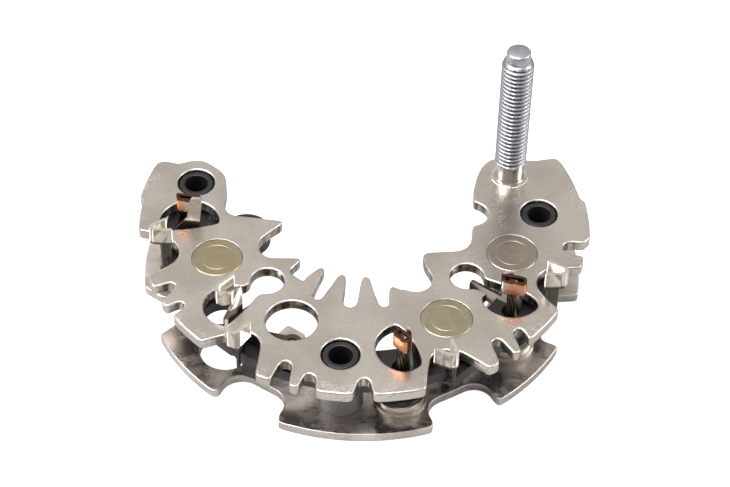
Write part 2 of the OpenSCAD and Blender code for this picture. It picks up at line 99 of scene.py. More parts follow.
class Term:
    """One output socket of a node tree, with the usual operators on it."""

    def __init__(self, graph: "Graph", socket: bpy.types.NodeSocket) -> None:
        """Wraps a socket of a graph."""
        self.graph = graph
        self.socket = socket

    def _math(self, operation: str, *values: "float | Term") -> "Term":
        """Adds a Math node on the values and gives its result."""
        node = self.graph.node("ShaderNodeMath", {"operation": operation}, dict(enumerate(values)))
        return Term(self.graph, node.outputs[0])

    def __add__(self, other: "float | Term") -> "Term":
        """Sum."""
        return self._math("ADD", self, other)

    __radd__ = __add__

    def __sub__(self, other: "float | Term") -> "Term":
        """Difference."""
        return self._math("SUBTRACT", self, other)

    def __rsub__(self, other: "float | Term") -> "Term":
        """Difference the other way round."""
        return self._math("SUBTRACT", other, self)

    def __mul__(self, other: "float | Term") -> "Term":
        """Product."""
        return self._math("MULTIPLY", self, other)

    __rmul__ = __mul__

    def __truediv__(self, other: "float | Term") -> "Term":
        """Quotient."""
        return self._math("DIVIDE", self, other)

    def __pow__(self, other: "float | Term") -> "Term":
        """Power."""
        return self._math("POWER", self, other)

    def most(self, other: "float | Term") -> "Term":
        """The larger of the two."""
        return self._math("MAXIMUM", self, other)

    def sine(self) -> "Term":
        """Sine of the value in radians."""
        return self._math("SINE", self)

    def step(self, low: float, high: float) -> "Term":
        """Smooth step from 0 at low to 1 at high; low may be the larger."""
        node = self.graph.node(
            "ShaderNodeMapRange",
            {"interpolation_type": "SMOOTHSTEP", "clamp": True},
            {"Value": self, "From Min": low, "From Max": high, "To Min": 0.0, "To Max": 1.0},
        )
        return Term(self.graph, node.outputs["Result"])


Colour = tuple[float, float, float]


class Graph:
    """A node tree with one shader, of a material or of the world, built by calls."""

    def __init__(self, name: str, world: bpy.types.World | None = None) -> None:
        """Makes an empty material of that name, or takes the world's tree."""
        self.material = world or bpy.data.materials.new(name)
        self.material.use_nodes = True
        self.tree = self.material.node_tree
        self.shader = self.tree.nodes["Background" if world else "Principled BSDF"]

    def node(
        self,
        kind: str,
        settings: dict[str, Any] | None = None,
        inputs: dict[Any, Any] | None = None,
    ) -> bpy.types.Node:
        """Adds a node.

        Args:
            kind: the node's type.
            settings: its own settings, set before its sockets.
            inputs: value or Term for each socket, by name or index.

        Returns:
            The node.
        """
        node = self.tree.nodes.new(kind)
        for key, value in (settings or {}).items():
            setattr(node, key, value)
        for key, value in (inputs or {}).items():
            if isinstance(value, Term):
                self.tree.links.new(value.socket, node.inputs[key])
            else:
                node.inputs[key].default_value = value
        return node

    def place(self, middle: Point = (0.0, 0.0), turn: float = 0.0, stretch: Sequence[float] = (1, 1, 1)) -> Term:
        """Gives the Object coordinates, moved, turned and stretched.

        Args:
            middle: point in plan, in millimetres, that becomes the origin.
            turn: turn about the vertical, in degrees.
            stretch: factors along x, y and z after the turn.

        Returns:
            The coordinates as a vector.
        """
        base = self.node("ShaderNodeTexCoord").outputs["Object"]
        shift = (-middle[0] * MM, -middle[1] * MM, 0.0)
        moved = self.node("ShaderNodeMapping", {}, {"Vector": Term(self, base), "Location": shift})
        turned = self.node(
            "ShaderNodeMapping",
            {},
            {
                "Vector": Term(self, moved.outputs[0]),
                "Rotation": (0.0, 0.0, math.radians(turn)),
                "Scale": tuple(stretch),
            },
        )
        return Term(self, turned.outputs[0])

    def noise(self, size: float, detail: float = 3.0, place: Term | None = None, **more: float) -> Term:
        """Gives a noise value.

        Args:
            size: size of its features in millimetres.
            detail: octaves.
            place: coordinates, or None for the Object ones.
            more: other sockets of the node by name.

        Returns:
            A value from 0 to 1.
        """
        where = place or self.place()
        inputs = {"Vector": where, "Scale": 1 / (size * MM), "Detail": detail, **more}
        return Term(self, self.node("ShaderNodeTexNoise", {}, inputs).outputs[0])

    def cells(self, size: float, place: Term | None = None) -> Term:
        """Gives the distance to the nearest of scattered points, in cell sizes."""
        where = place or self.place()
        node = self.node("ShaderNodeTexVoronoi", {}, {"Vector": where, "Scale": 1 / (size * MM)})
        return Term(self, node.outputs["Distance"])

    def radius(self, middle: Point) -> Term:
        """Gives the distance from an upright axis through a point in plan, in millimetres."""
        parts = self.node("ShaderNodeSeparateXYZ", {}, {"Vector": self.place(middle)})
        x, y = Term(self, parts.outputs["X"]), Term(self, parts.outputs["Y"])
        return (x * x + y * y) ** 0.5 * (1 / MM)

    def towards(self) -> tuple[Term, Term, Term]:
        """Gives the three parts of the direction in which the world is seen."""
        seen = Term(self, self.node("ShaderNodeTexCoord").outputs["Generated"])
        parts = self.node("ShaderNodeSeparateXYZ", {}, {"Vector": seen}).outputs
        return Term(self, parts["X"]), Term(self, parts["Y"]), Term(self, parts["Z"])

    def height(self) -> Term:
        """Gives the height above the seat in millimetres."""
        parts = self.node("ShaderNodeSeparateXYZ", {}, {"Vector": self.place()})
        return Term(self, parts.outputs["Z"]) * (1 / MM)

    def wall(self) -> Term:
        """Gives 1 on upright faces and 0 on level ones."""
        parts = self.node("ShaderNodeSeparateXYZ", {}, {
            "Vector": Term(self, self.node("ShaderNodeNewGeometry").outputs["True Normal"])})
        up = Term(self, parts.outputs["Z"])
        return (up * up).step(0.5, 0.1)

    def rim(self) -> Term:
        """Gives the mesh's own rim value: 1 on rounded edges and 0 on flats."""
        return Term(self, self.node("ShaderNodeAttribute", {"attribute_name": "rim"}).outputs["Fac"])

    def blend(self, share: "float | Term", low: "Colour | Term", high: "Colour | Term") -> Term:
        """Mixes two colours.

        Args:
            share: 0 for the first colour and 1 for the second.
            low: first colour.
            high: second colour.

        Returns:
            The colour.
        """
        ends = {
            key: value if isinstance(value, Term) else (*value, 1.0)
            for key, value in (("A", low), ("B", high))
        }
        node = self.node("ShaderNodeMix", {"data_type": "RGBA"})
        for socket in node.inputs:
            if socket.type == "RGBA" and socket.name in ends:
                self._feed(socket, ends[socket.name])
        self._feed(node.inputs[0], share)
        colour = next(s for s in node.outputs if s.type == "RGBA")
        return Term(self, colour)

    def _feed(self, socket: bpy.types.NodeSocket, value: Any) -> None:
        """Links a Term to a socket, or sets the socket's value."""
        if isinstance(value, Term):
            self.tree.links.new(value.socket, socket)
        else:
            socket.default_value = value

    def bump(self, height: Term, depth: float) -> None:
        """Raises the surface by a height.

        Args:
            height: value from 0 to 1.
            depth: how far 1 stands above 0, in millimetres.
        """
        node = self.node("ShaderNodeBump", {}, {"Height": height, "Distance": depth * MM, "Strength": 1.0})
        self.tree.links.new(node.outputs[0], self.shader.inputs["Normal"])

    def finish(self, **sockets: Any) -> bpy.types.Material:
        """Sets the shader's sockets, with spaces in their names written as underscores."""
        for key, value in sockets.items():
            self._feed(self.shader.inputs[key.replace("_", " ")], value)
        return self.material


@dataclass(frozen=True)
class TumbledAluminium:
    """Satin plate of the upper heat sink, tumbled and nicked, with a painted highlight along its rounded edges and
    painted shade on the walls of its windows.
    """

    name: str = "tumbled_aluminium"
    light: Colour = (0.72, 0.665, 0.605)
    dark: Colour = (0.61, 0.56, 0.505)
    bright: Colour = (0.92, 0.89, 0.85)
    pit: Colour = (0.30, 0.27, 0.25)
    rim_radius: float = 55.6
    rim_band: float = 3.4

    def dashes(self, g: Graph, size: float, turn: float, thin: float, share: float) -> Term:
        """Gives short straight marks.

        Args:
            g: the material's tree.
            size: distance between marks in millimetres.
            turn: their direction in plan, in degrees.
            thin: their width as a share of their length.
            share: level of a coarse noise above which they are there.

        Returns:
            1 on a mark and 0 beside it.
        """
        place = g.place(turn=turn, stretch=(thin, 1, 1))
        return g.cells(size, place).step(0.11, 0.05) * g.noise(2.4, 2.0).step(share, share + 0.2)

    def material(self) -> bpy.types.Material:
        """Builds the material."""
        g = Graph(self.name)
        away = g.radius((0.0, 0.0))
        broad = g.noise(15.0, 3.0)
        fine = g.noise(1.1, 4.0)
        grain = g.noise(0.3, 3.0)
        rolled = g.noise(0.2, 2.0, g.place(turn=4, stretch=(0.03, 1, 1)))
        # painted shade: the upright walls of the windows inside the rim are darkened, with vertical streaks left
        # lighter
        window_wall_shade = g.wall() * away.step(54.2, 53.0)
        streak = g.noise(1.5, 3.0, g.place(stretch=(1, 1, 0.08))).step(0.42, 0.58)
        lit = self.dashes(g, 1.5, 28, 0.35, 0.42).most(self.dashes(g, 1.9, -47, 0.25, 0.44))
        sunk = self.dashes(g, 1.7, 75, 0.4, 0.44).most(self.dashes(g, 1.4, -12, 0.4, 0.46))
        band = away.step(self.rim_radius - self.rim_band, self.rim_radius - 0.8) * g.noise(6.0, 3.0).step(0.42, 0.6)
        scuffed = g.noise(0.32, 3.0, g.place(turn=-8, stretch=(0.3, 1, 1))).step(0.5, 0.62) * band
        dug = g.noise(0.3, 3.0, g.place(turn=16, stretch=(0.4, 1, 1))).step(0.52, 0.64) * band
        rim = g.rim()
        body = g.blend((broad.step(0.3, 0.7) * 0.5 + fine * 0.35 + rolled * 0.25).step(0.2, 0.85), self.dark, self.light)
        # bright nicks and scuffs, plus a painted highlight along the rounded edges from the rim value
        nicks_and_edge_highlight = g.blend((lit * 0.7 + scuffed * 0.7 + rim * (fine * 0.6)).step(0.0, 1.0), body, self.bright)
        pitted = g.blend((sunk * 0.5 + dug * 0.65).step(0.0, 1.0), nicks_and_edge_highlight, self.pit)
        shaded = g.blend(window_wall_shade * (0.85 - streak * 0.7), pitted, (0.13, 0.105, 0.09))
        g.bump(grain * 0.15 + fine * 0.4 + rolled * 0.45 - sunk * 0.7 - dug * 0.8 - lit * 0.4, 0.022)
        return g.finish(
            Base_Color=shaded,
            Metallic=1.0,
            Roughness=0.2 + fine * 0.08 + broad.step(0.35, 0.65) * 0.05 + rim * 0.12,
        )


@dataclass(frozen=True)
class PolishedAluminium:
    """Smooth plate of the lower heat sink, smudged and scratched in long sweeps."""

    name: str = "polished_aluminium"
    light: Colour = (0.93, 0.87, 0.825)
    dark: Colour = (0.72, 0.65, 0.61)
    rim_tone: Colour = (0.83, 0.76, 0.72)

    def material(self) -> bpy.types.Material:
        """Builds the material."""
        g = Graph(self.name)
        smudge = g.noise(6.0, 5.0, None, Roughness=0.6)
        sweep = g.noise(0.5, 4.0, g.place(turn=24, stretch=(0.08, 1, 1)))
        cross = g.noise(0.5, 4.0, g.place(turn=-33, stretch=(0.1, 1, 1)))
        wiped = (sweep * g.noise(8.0).step(0.4, 0.6) + cross * g.noise(7.0).step(0.45, 0.6)).step(0.25, 0.8)
        specks = g.cells(1.4).step(0.13, 0.05) * g.noise(4.0, 2.0).step(0.46, 0.58)
        rim = g.rim()
        hair = g.noise(0.16, 2.0, g.place(turn=-14, stretch=(0.03, 1, 1))).step(0.56, 0.66) * wiped
        body = g.blend((smudge.step(0.3, 0.7) * 0.6 + wiped * 0.3).step(0.0, 1.0), self.dark, self.light)
        marked = g.blend((specks * 0.6 + hair * 0.5).step(0.0, 1.0), body, (0.97, 0.93, 0.89))
        g.bump(sweep * 0.3 + cross * 0.25 + smudge * 0.3 + specks * 0.3 + hair * 0.25, 0.014)
        return g.finish(
            Base_Color=g.blend(rim * 0.6, marked, self.rim_tone),
            Metallic=1.0,
            Roughness=0.22 + wiped * 0.12 + smudge.step(0.4, 0.75) * 0.14 + hair * 0.1 + rim * 0.15,
        )


@dataclass(frozen=True)
class NickelDisc:
    """Warm nickel of a diode cup, turned round its own axis, clouded on its base and painted darker as shade in its
    knurl's grooves.
    """

    name: str
    middle: Point
    tone: Colour = (0.50, 0.43, 0.30)
    shade: Colour = (0.36, 0.31, 0.21)
    stain: Colour = (0.42, 0.30, 0.17)

    def material(self) -> bpy.types.Material:
        """Builds the material."""
        g = Graph(self.name)
        away = g.radius(self.middle)
        rings = (away * 30.0).sine() * 0.5 + 0.5
        cloud = g.noise(2.6, 4.0)
        struck = g.noise(0.9, 3.0).step(0.42, 0.6) * away.step(3.9, 2.2)
        specks = g.cells(0.9).step(0.15, 0.07) * cloud.step(0.45, 0.6)
        # painted shade in the knurl's grooves on the cup wall
        groove_shade = away.step(6.38, 6.27) * away.step(6.12, 6.2)
        body = g.blend((cloud.step(0.3, 0.72) * 0.6 + rings * 0.15).step(0.0, 1.0), self.tone, self.shade)
        stained = g.blend(struck * 0.3 + specks * 0.45, body, self.stain)
        with_groove_shade = g.blend(groove_shade * g.wall() * 0.6, stained, (0.2, 0.17, 0.12))
        g.bump(rings * 0.1 + cloud * 0.5 + struck * 0.5 - specks * 0.4, 0.02)
        return g.finish(Base_Color=with_groove_shade, Metallic=1.0, Roughness=0.25 + cloud * 0.12 + struck * 0.06)


@dataclass(frozen=True)
class MouldedPlastic:
    """Dark glass-filled plastic of the carrier and the bushes, black above a given height, which on the carrier is
    painted shade, and painted black as shade inside a bore.
    """

    name: str
    tone: Colour = (0.04, 0.035, 0.041)
    pale: Colour = (0.08, 0.072, 0.082)
    rough: float = 0.38
    black_from: float = 1000.0
    middle: Point = (0.0, 0.0)
    bore: float = 0.0

    def material(self) -> bpy.types.Material:
        """Builds the material."""
        g = Graph(self.name)
        cloud = g.noise(4.0, 4.0)
        grain = g.noise(0.3, 3.0)
        dust = g.cells(0.8).step(0.12, 0.05) * cloud.step(0.46, 0.6)
        body = g.blend((cloud.step(0.3, 0.75) * 0.7 + grain * 0.2 + g.rim() * 0.4).step(0.0, 1.0), self.tone, self.pale)
        # painted shade: a bore is painted black; above black_from the plastic is black, which on the carrier's top is
        # painted shade
        bore_shade = g.radius(self.middle).step(self.bore + 0.25, self.bore + 0.1)
        black = (g.height().step(self.black_from - 0.6, self.black_from) + bore_shade).step(0.0, 1.0)
        black_and_shaded = g.blend(black, body, (0.012, 0.0105, 0.0115))
        g.bump(grain * 0.6 + cloud * 0.4, 0.03)
        return g.finish(
            Base_Color=g.blend(dust * 0.35, black_and_shaded, (0.2, 0.19, 0.19)),
            Roughness=self.rough + cloud * 0.15 + grain * 0.08,
        )


@dataclass(frozen=True)
class PottingEpoxy:
    """Dark potting compound with a satin skin that shrank a little."""

    name: str = "potting_epoxy"

    def material(self) -> bpy.types.Material:
        """Builds the material."""
        g = Graph(self.name)
        skin = g.noise(2.4, 2.0)
        dust = g.noise(0.3, 3.0).step(0.6, 0.8)
        g.bump(skin, 0.1)
        return g.finish(
            Base_Color=g.blend(dust * 0.6, (0.042, 0.037, 0.043), (0.09, 0.083, 0.085)),
            Roughness=0.3 + dust * 0.2,
        )


@dataclass(frozen=True)
class TinPlate:
    """Soft tin over the terminal sheet, with a faint yellow cast and wiped marks, and painted shade below the upper
    plate's top.
    """

    name: str = "tin_plate"
    weld: Point = (0.0, 0.0)
    tone: Colour = (0.84, 0.775, 0.69)
    dull: Colour = (0.70, 0.645, 0.565)
    shaded: Colour = (0.13, 0.116, 0.1)

    def material(self) -> bpy.types.Material:
        """Builds the material."""
        g = Graph(self.name)
        cloud = g.noise(1.8, 4.0)
        wiped = g.noise(0.35, 3.0, g.place(turn=20, stretch=(1, 1, 0.15)))
        specks = g.cells(0.8).step(0.15, 0.06) * cloud.step(0.46, 0.6)
        body = g.blend((cloud.step(0.35, 0.7) * 0.6 + wiped * 0.3 + specks * 0.5).step(0.0, 1.0), self.tone, self.dull)
        # painted shade: below the upper plate's top, and a little above it near the weld, the tin takes the shaded
        # colour
        low = g.height().step(UPPER_TOP + 1.6, UPPER_TOP + 0.8) * g.radius(self.weld).step(15.0, 13.0)
        under_plate_shade = (g.height().step(UPPER_TOP + 0.1, UPPER_TOP - 0.5) + low).step(0.0, 1.0)
        burnt = g.radius(self.weld).step(3.6, 2.9) * g.height().step(UPPER_TOP + 3.9, UPPER_TOP + 5.2)
        g.bump(wiped * 0.4 + cloud * 0.2 - specks * 0.4, 0.004)
        return g.finish(
            Base_Color=g.blend(burnt, g.blend(under_plate_shade, body, self.shaded), (0.06, 0.04, 0.035)),
            Metallic=1.0,
            Roughness=0.24 + cloud * 0.12 + under_plate_shade * 0.15,
        )


@dataclass(frozen=True)
class WeldedCopper:
    """Copper of a crimp, orange where the weld's heat took the tin off, burnt along its top and painted dark as shade
    inside its open fold.
    """

    name: str = "welded_copper"
    middle: Point = (0.0, 0.0)
    turn: float = 0.0
    tin_side: float = -1.0
    tin_from: float = 1.2
    top: float = 24.8
    gap: float = 0.0
    copper: Colour = (0.95, 0.44, 0.2)
    pink: Colour = (0.92, 0.50, 0.42)
    tin: Colour = (0.80, 0.73, 0.62)
    # burnt colour, also used as painted shade inside the fold
    burnt: Colour = (0.09, 0.045, 0.03)

    def material(self) -> bpy.types.Material:
        """Builds the material."""
        g = Graph(self.name)
        patch = g.noise(1.5, 3.0)
        scorch = g.noise(1.0, 4.0)
        parts = g.node("ShaderNodeSeparateXYZ", {}, {"Vector": g.place(self.middle, -self.turn)})
        along = Term(g, parts.outputs["X"]) * (self.tin_side / MM) + patch * 1.4 - 0.7
        across = Term(g, parts.outputs["Y"]) * (1.0 / MM)
        # painted shade: the gap between the folded walls is darkened with the burnt colour
        inside = (across * across).step((self.gap / 2 + 0.2) ** 2, (self.gap / 2 + 0.08) ** 2)
        hue = g.blend(patch.step(0.45, 0.62), self.copper, self.pink)
        body = g.blend(along.step(self.tin_from - 0.3, self.tin_from + 0.3), hue, self.tin)
        edge = (g.height() + scorch * 1.2 - 0.6).step(self.top - 0.75, self.top - 0.15)
        dark = (scorch.step(0.6, 0.75) * 0.5 + edge + inside).step(0.0, 1.0)
        g.bump(patch * 0.6 + scorch * 0.4, 0.05)
        return g.finish(
            Base_Color=g.blend(dark, body, self.burnt),
            Metallic=1.0,
            Roughness=0.4 + scorch * 0.2,
        )


@dataclass(frozen=True)
class BareCopper:
    """Drawn copper strands of a diode's lead, browned with age, and darkened by a given share as painted shade."""

    name: str = "bare_copper"
    painted_shade: float = 0.0

    def material(self) -> bpy.types.Material:
        """Builds the material."""
        g = Graph(self.name)
        cloud = g.noise(1.3, 3.0, g.place(stretch=(1, 1, 0.3)))
        drawn = g.blend(cloud.step(0.35, 0.65), (0.36, 0.29, 0.22), (0.17, 0.12, 0.085))
        # painted shade: blends the strands towards near black by the given share
        body = g.blend(self.painted_shade, drawn, (0.015, 0.012, 0.011))
        g.bump(cloud, 0.01)
        return g.finish(Base_Color=body, Metallic=1.0, Roughness=0.27 + cloud * 0.15)


@dataclass(frozen=True)
class ZincPlate:
    """Bluish zinc of the battery stud, warmer on its plain neck, with painted shade in the roots of its thread."""

    name: str = "zinc_plate"
    cool: Colour = (0.55, 0.555, 0.59)
    warm: Colour = (0.84, 0.79, 0.72)
    groove_shade: Colour = (0.2, 0.195, 0.215)
    middle: Point = (0.0, 0.0)
    crest: float = 4.0
    thread_top: float = 57.6

    def material(self) -> bpy.types.Material:
        """Builds the material."""
        g = Graph(self.name)
        cloud = g.noise(3.0, 4.0)
        grain = g.noise(0.3, 3.0)
        neck = g.height().step(UPPER_TOP + 6.4, UPPER_TOP + 5.0)
        high = g.height()
        wound = high.step(UPPER_TOP + 5.4, UPPER_TOP + 6.2) * high.step(self.thread_top, self.thread_top - 0.3)
        # painted shade: the thread's roots take a dark colour
        deep = g.radius(self.middle).step(self.crest - 0.15, self.crest - 0.65) * wound
        body = g.blend(neck, g.blend(deep, self.cool, self.groove_shade), self.warm)
        shaded = g.blend(cloud.step(0.35, 0.75) * 0.5, body, (0.38, 0.375, 0.39))
        g.bump(cloud * 0.5 + grain * 0.5, 0.02)
        return g.finish(
            Base_Color=shaded, Metallic=1.0, Roughness=0.27 + cloud * 0.12 + grain * 0.06 - neck * 0.12)


# Meshes


class Edge(Enum):
    """How an edge is finished, as a radius in millimetres."""

    TIGHT = 0.12
    SHEET = 0.18
    MOULDED = 0.3
    TUMBLED = 0.5
    COINED = 0.65


def face_loops(node: str, z: float, up: bool) -> list[Loop]:
    """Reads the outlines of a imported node's flat face.

    Args:
        node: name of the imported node.
        z: height of the face in millimetres.
        up: True for a face that looks up.

    Returns:
        Closed outlines with the material on their left, seen from above.
    """
    bm = bmesh.new()
    bm.from_mesh(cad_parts[node].data)
    bmesh.ops.remove_doubles(bm, verts=bm.verts, dist=1e-6)
    bm.normal_update()
    sign = 1 if up else -1
    faces = {
        f for f in bm.faces
        if f.normal.z * sign > 0.99 and abs(f.calc_center_median().z / MM - z) < 0.01
    }
    following: dict[int, int] = {}
    for face in faces:
        for loop in face.loops:
            if sum(other in faces for other in loop.edge.link_faces) == 1:
                following[loop.vert.index] = loop.link_loop_next.vert.index
    places = {v.index: Vector((v.co.x / MM, v.co.y / MM)) for v in bm.verts}
    loops: list[Loop] = []
    while following:
        start, index = following.popitem()
        ring = [start]
        while index != start:
            ring.append(index)
            index = following.pop(index)
        loops.append([places[i] for i in (ring if up else reversed(ring))])
    bm.free()
    return loops


def even(loop: Loop, spacing: float) -> Loop:
    """Spaces the points of an outline evenly.

    Args:
        loop: closed outline.
        spacing: wished distance between two points in millimetres.

    Returns:
        The new outline.
    """
    ring = loop + loop[:1]
    steps = [(q - p).length for p, q in zip(ring, ring[1:])]
    count = max(int(sum(steps) / spacing), 24)
    gap = sum(steps) / count
    result: Loop = []
    k, passed = 0, 0.0
    for i in range(count):
        while passed + steps[k] < i * gap:
            passed += steps[k]
            k += 1
        result.append(ring[k].lerp(ring[k + 1], (i * gap - passed) / max(steps[k], 1e-9)))
    return result


def soften(loop: Loop, reach: float, spacing: float = 0.3) -> Loop:
    """Rounds the corners of an outline by averaging it along its own length.

    Args:
        loop: closed outline.
        reach: spread of the average in millimetres; a right angle gets about twice that radius.
        spacing: distance between the points of the result in millimetres.

    Returns:
        The new outline.
    """
    points = even(loop, spacing)
    span = int(3 * reach / spacing) + 1
    shares = [math.exp(-((k * spacing / reach) ** 2) / 2) for k in range(-span, span + 1)]
    total, count = sum(shares), len(points)
    result: Loop = []
    for i in range(count):
        mean = Vector((0.0, 0.0))
        for k, share in enumerate(shares):
            mean += points[(i + k - span) % count] * (share / total)
        result.append(mean)
    return result


def inset(loop: Loop, depth: float, near: KDTree) -> Loop:
    """Moves an outline towards its material and folds away what would cross itself.

    Args:
        loop: closed outline with the material on its left.
        depth: distance in millimetres.
        near: the outline's own points.

    Returns:
        The moved outline, with as many points.
    """
    if depth < 0.01:
        return list(loop)
    moved: Loop = []
    for i, here in enumerate(loop):
        run = (loop[(i + 1) % len(loop)] - loop[i - 1]).normalized()
        moved.append(here + Vector((-run.y, run.x)) * depth)
    good = [near.find((p.x, p.y, 0.0))[2] > depth * 0.93 for p in moved]
    if all(good) or not any(good):
        return moved
    start = good.index(True)
    order = [(start + k) % len(loop) for k in range(len(loop) + 1)]
    k = 0
    while k < len(loop):
        if good[order[k]]:
            k += 1
            continue
        last = k
        while not good[order[last]]:
            last += 1
        knee = (moved[order[k - 1]] + moved[order[last]]) / 2
        for index in order[k:last]:
            moved[index] = knee
        k = last
    return moved


class Solid:
    """A mesh in the making, in millimetres, with a rim value on its points."""

    def __init__(self) -> None:
        """Starts an empty mesh."""
        self.bm = bmesh.new()
        self.rim = self.bm.verts.layers.float.new("rim")

    def ring(self, points: Iterable[Sequence[float]], rim: float = 0.0) -> list[bmesh.types.BMVert]:
        """Adds points and gives them back as a ring."""
        ring = [self.bm.verts.new(p) for p in points]
        for v in ring:
            v[self.rim] = rim
        return ring

    def skin(self, rings: Sequence[list[bmesh.types.BMVert]], closed: bool = True) -> None:
        """Joins rings of equal length one after the other.

        Args:
            rings: the rings.
            closed: whether each ring closes on itself.
        """
        for low, high in zip(rings, rings[1:]):
            count = len(low)
            for i in range(count if closed else count - 1):
                j = (i + 1) % count
                corners = [low[i], low[j], high[j], high[i]]
                unique = list(dict.fromkeys(corners))
                if len(unique) > 2:
                    self.bm.faces.new(unique)

    def cap(self, rings: Sequence[list[bmesh.types.BMVert]], up: bool) -> None:
        """Closes a flat face between rings that have the material on their left, seen from above."""
        flat: list[bmesh.types.BMVert] = []
        edges: list[tuple[int, int]] = []
        for ring in rings:
            kept = [v for i, v in enumerate(ring) if (v.co - ring[i - 1].co).length > 1e-4]
            first = len(flat)
            flat.extend(kept)
            edges.extend((first + i, first + (i + 1) % len(kept)) for i in range(len(kept)))
        places = [Vector((v.co.x, v.co.y)) for v in flat]
        points, _, faces, origins, _, _ = delaunay_2d_cdt(places, edges, [], 1, 1e-6)
        renamed = {old: i for i, origin in enumerate(origins) for old in origin}
        walls = {(renamed[a], renamed[b]) for a, b in edges}
        owner = {(f[k - 1], f[k]): i for i, f in enumerate(faces) for k in range(len(f))}
        inside = {owner[wall] for wall in walls if wall in owner}
        front = list(inside)
        while front:
            face = faces[front.pop()]
            for k in range(len(face)):
                a, b = face[k - 1], face[k]
                other = owner.get((b, a))
                if (a, b) in walls or (b, a) in walls or other is None or other in inside:
                    continue
                inside.add(other)
                front.append(other)
        z = flat[0].co.z
        verts = [
            flat[origin[0]] if origin else self.bm.verts.new((p.x, p.y, z))
            for p, origin in zip(points, origins)
        ]
        for i in inside:
            self.bm.faces.new([verts[k] for k in (faces[i] if up else reversed(faces[i]))])

    def plate(self, loops: Sequence[Loop], low: float, high: float, edges: Sequence[float], steps: int = 4) -> None:
        """Adds a flat plate with rounded edges.

        Args:
            loops: outlines with the material on their left.
            low: height of its underside.
            high: height of its top.
            edges: edge radius of each outline.
            steps: straight pieces in each quarter round.
        """
        tops, floors = [], []
        for loop, edge in zip(loops, edges):
            near = KDTree(len(loop))
            for i, p in enumerate(loop):
                near.insert((p.x, p.y, 0.0), i)
            near.balance()
            profile = []
            for k in range(steps + 1):
                a = math.pi / 2 * k / steps
                profile.append((edge * (1 - math.sin(a)), edge * (1 - math.cos(a)), math.sin(2 * a)))
            profile.insert(0, (edge * 1.3, 0.0, 0.0))
            upper = [(depth, high - drop, rim) for depth, drop, rim in profile]
            lower = [(depth, low + drop, rim) for depth, drop, rim in reversed(profile)]
            rings = [
                self.ring([(p.x, p.y, z) for p in inset(loop, depth, near)], rim)
                for depth, z, rim in upper + lower
            ]
            self.skin(list(reversed(rings)))
            tops.append(rings[0])
            floors.append(rings[-1])
        self.cap(tops, True)
        self.cap(floors, False)

    def lathe(self, profile: Sequence[Point], middle: Point, count: int = 96, bulge: Callable[[int, float], float] | None = None) -> None:
        """Adds a turned piece.

        Args:
            profile: radius and height of each point, going round the section with the material
                on its left, both in millimetres; a radius of 0 makes a pole.
            middle: axis in plan.
            count: points round the axis.
            bulge: extra radius for a point's number round the axis and its height.
        """
        rings = []
        for r, z in profile:
            if r == 0:
                pole = self.ring([(middle[0], middle[1], z)])[0]
                rings.append([pole] * count)
                continue
            points = []
            for i in range(count):
                a = math.tau * i / count
                away = r + (bulge(i, z) if bulge else 0.0)
                points.append((middle[0] + away * math.cos(a), middle[1] + away * math.sin(a), z))
            rings.append(self.ring(points))
        self.skin(rings)
        if profile[0] != profile[-1] and profile[0][0] != 0:
            self.skin([rings[-1], rings[0]])

    def grow(self, other: "Solid", place: Matrix) -> None:
        """Adds another solid at a place and frees it."""
        other.bm.transform(place)
        mesh = bpy.data.meshes.new("part")
        other.bm.to_mesh(mesh)
        other.bm.free()
        self.bm.from_mesh(mesh)
        bpy.data.meshes.remove(mesh)

    def piece(
        self,
        name: str,
        material: bpy.types.Material,
        slot: str,
        nodes: Sequence[str] = (),
        sharp: float = 40.0,
    ) -> bpy.types.Object:
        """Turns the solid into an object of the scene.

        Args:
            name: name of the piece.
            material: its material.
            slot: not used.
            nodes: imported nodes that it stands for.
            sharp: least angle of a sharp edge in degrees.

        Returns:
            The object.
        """
        bmesh.ops.remove_doubles(self.bm, verts=self.bm.verts, dist=1e-5)
        bmesh.ops.recalc_face_normals(self.bm, faces=self.bm.faces)
        self.bm.transform(Matrix.Scale(MM, 4))
        mesh = bpy.data.meshes.new(name)
        self.bm.to_mesh(mesh)
        self.bm.free()
        mesh.materials.append(material)
        mesh.shade_smooth()
        mesh.set_sharp_from_angle(angle=math.radians(sharp))
        return settle(bpy.data.objects.new(name, mesh), nodes)


def settle(piece: bpy.types.Object, nodes: Sequence[str] = ()) -> bpy.types.Object:
    """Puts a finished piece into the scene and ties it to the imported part.

    Args:
        piece: the object.
        nodes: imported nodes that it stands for.

    Returns:
        The object.
    """
    if piece.name not in bpy.context.scene.collection.objects:
        bpy.context.scene.collection.objects.link(piece)
    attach(piece, BODY)
    if nodes:
        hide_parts(*nodes)
    LOG.info("%s: %d faces", piece.name, len(piece.data.polygons))
    return piece


def strip_loop(points: Sequence[Point], width: float, steps: int = 6) -> Loop:
    """Gives the outline of a bent strip seen on its edge.

    Args:
        points: centre line.
        width: thickness of the strip.
        steps: straight pieces between two points.

    Returns:
        A closed outline that goes round to the left.
    """
    line = [Vector(p) for p in points]
    ends = [line[0] * 2 - line[1], *line, line[-1] * 2 - line[-2]]
    path: Loop = []
    for a, b, c, d in zip(ends, ends[1:], ends[2:], ends[3:]):
        for k in range(steps):
            t = k / steps
            path.append(
                (b * 2 + (c - a) * t + (a * 2 - b * 5 + c * 4 - d) * t ** 2
                 + (b * 3 - a - c * 3 + d) * t ** 3) / 2
            )
    path.append(line[-1])
    sides: tuple[Loop, Loop] = ([], [])
    for i, here in enumerate(path):
        run = (path[min(i + 1, len(path) - 1)] - path[max(i - 1, 0)]).normalized()
        out = Vector((run.y, -run.x)) * width / 2
        sides[0].append(here + out)
        sides[1].append(here - out)
    return sides[0] + list(reversed(sides[1]))


# Pieces


